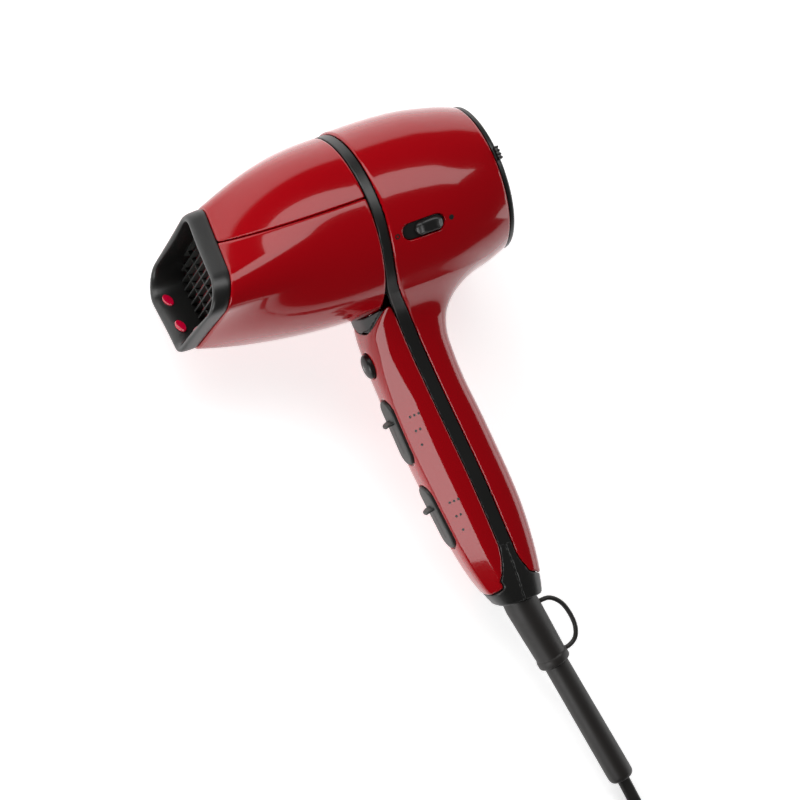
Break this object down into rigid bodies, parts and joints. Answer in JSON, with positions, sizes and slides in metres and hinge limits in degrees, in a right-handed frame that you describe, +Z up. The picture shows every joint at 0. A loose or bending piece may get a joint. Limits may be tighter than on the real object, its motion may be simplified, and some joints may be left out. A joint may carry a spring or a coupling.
{
  "type": "hair dryer",
  "caption": "Handheld hair dryer with a round barrel narrowing to a diamond mouth, a leaning handle with sliding switches, and a coiled mains cord with a safety plug.",
  "frame": {"origin": "on the floor, under the middle of the dryer without its cord, as it lies on its right side", "axes": "+Z up from the floor; -X the way the barrel blows; +Y from the handle towards the top of the barrel"},
  "size_m": [0.1844, 0.4914, 0.0961],
  "materials": {
    "brass": "polished",
    "circuit_board": "satin",
    "cord_rubber": "matte",
    "gloss_red": "glossy",
    "heat_resistant_black": "matte",
    "lens_red": "glossy",
    "mica": "matte",
    "nichrome": "satin",
    "satin_black": "satin",
    "steel": "satin",
    "switch_grey": "matte"
  },
  "bodies": {
    "housing": {"control_board": "circuit_board", "cool_shot_spring": "steel", "cool_shot_switch": "satin_black", "cord_coil": "cord_rubber", "cord_lead": "cord_rubber", "cord_sleeve": "cord_rubber", "cord_tail": "cord_rubber", "cord_tie": "satin_black", "fan_shroud": "heat_resistant_black", "filter_hinge_pin": "steel", "front_barrel_lower": "gloss_red", "front_barrel_upper": "gloss_red", "handle_end_cap": "satin_black", "handle_front_shell": "gloss_red", "handle_screw_1": "steel", "handle_screw_2": "steel", "heat_switch_body": "satin_black", "heat_switch_cover": "switch_grey", "heater_liner": "mica", "heating_coil": "nichrome", "infrared_lens_low_left": "lens_red", "infrared_lens_low_right": "lens_red", "infrared_lens_side_left": "lens_red", "infrared_lens_side_right": "lens_red", "ion_generator": "circuit_board", "lock_slot_plate": "satin_black", "mica_plate_left": "mica", "mica_plate_right": "mica", "mica_plate_upright": "mica", "middle_band": "satin_black", "motor": "steel", "motor_mount": "heat_resistant_black", "neck_collar": "satin_black", "nozzle_ring": "satin_black", "outlet_grille": "heat_resistant_black", "plug_blade_left": "brass", "plug_blade_right": "brass", "plug_body": "cord_rubber", "rear_body_shell": "gloss_red", "speed_switch_body": "satin_black", "speed_switch_cover": "switch_grey", "strain_relief_sleeve": "cord_rubber", "thermal_cutoff": "steel"},
    "fan": {"fan_impeller": "heat_resistant_black", "motor_shaft": "steel"},
    "heat_slider": {"heat_slider": "switch_grey"},
    "speed_slider": {"speed_slider": "switch_grey"},
    "cool_shot_button": {"cool_shot_button": "satin_black"},
    "lock_slider": {"lock_slider": "satin_black"},
    "filter_cover": {"filter_cover": "satin_black", "filter_screen": "steel", "filter_finger_tab": "satin_black"},
    "plug_test_button": {"plug_test_button": "switch_grey"},
    "plug_reset_button": {"plug_reset_button": "switch_grey"}
  },
  "joints": [
    {"name": "fan_spin", "type": "hinge", "parent": "housing", "child": "fan", "pos_m": [0.05485, 0.13498, 0.04783], "axis": [-0.9999, 0.0017, -0.013], "continuous": true},
    {"name": "heat_slide", "type": "slide", "parent": "housing", "child": "heat_slider", "axis": [0.1402, -0.9818, -0.1281], "range_m": [0, 0.0155]},
    {"name": "speed_slide", "type": "slide", "parent": "housing", "child": "speed_slider", "axis": [0.1989, -0.9719, -0.126], "range_m": [0, 0.0155]},
    {"name": "cool_shot_press", "type": "slide", "parent": "housing", "child": "cool_shot_button", "axis": [0.9971, 0.0724, 0.0228], "range_m": [0, 0.002], "stiffness_N_per_m": 900, "springref_m": -0.0008},
    {"name": "lock_slide", "type": "slide", "parent": "housing", "child": "lock_slider", "axis": [-0.9999, 0.0017, -0.013], "range_m": [0, 0.0055]},
    {"name": "filter_cover_swing", "type": "hinge", "parent": "housing", "child": "filter_cover", "pos_m": [0.08806, 0.14011, 0.0091], "axis": [0, 0.9914, 0.1312], "range_deg": [0, 85]},
    {"name": "plug_test_press", "type": "slide", "parent": "housing", "child": "plug_test_button", "axis": [0, 0, -1], "range_m": [0, 0.0005], "stiffness_N_per_m": 900, "springref_m": -0.0003},
    {"name": "plug_reset_press", "type": "slide", "parent": "housing", "child": "plug_reset_button", "axis": [0, 0, -1], "range_m": [0, 0.0005], "stiffness_N_per_m": 900, "springref_m": -0.0003}
  ]
}
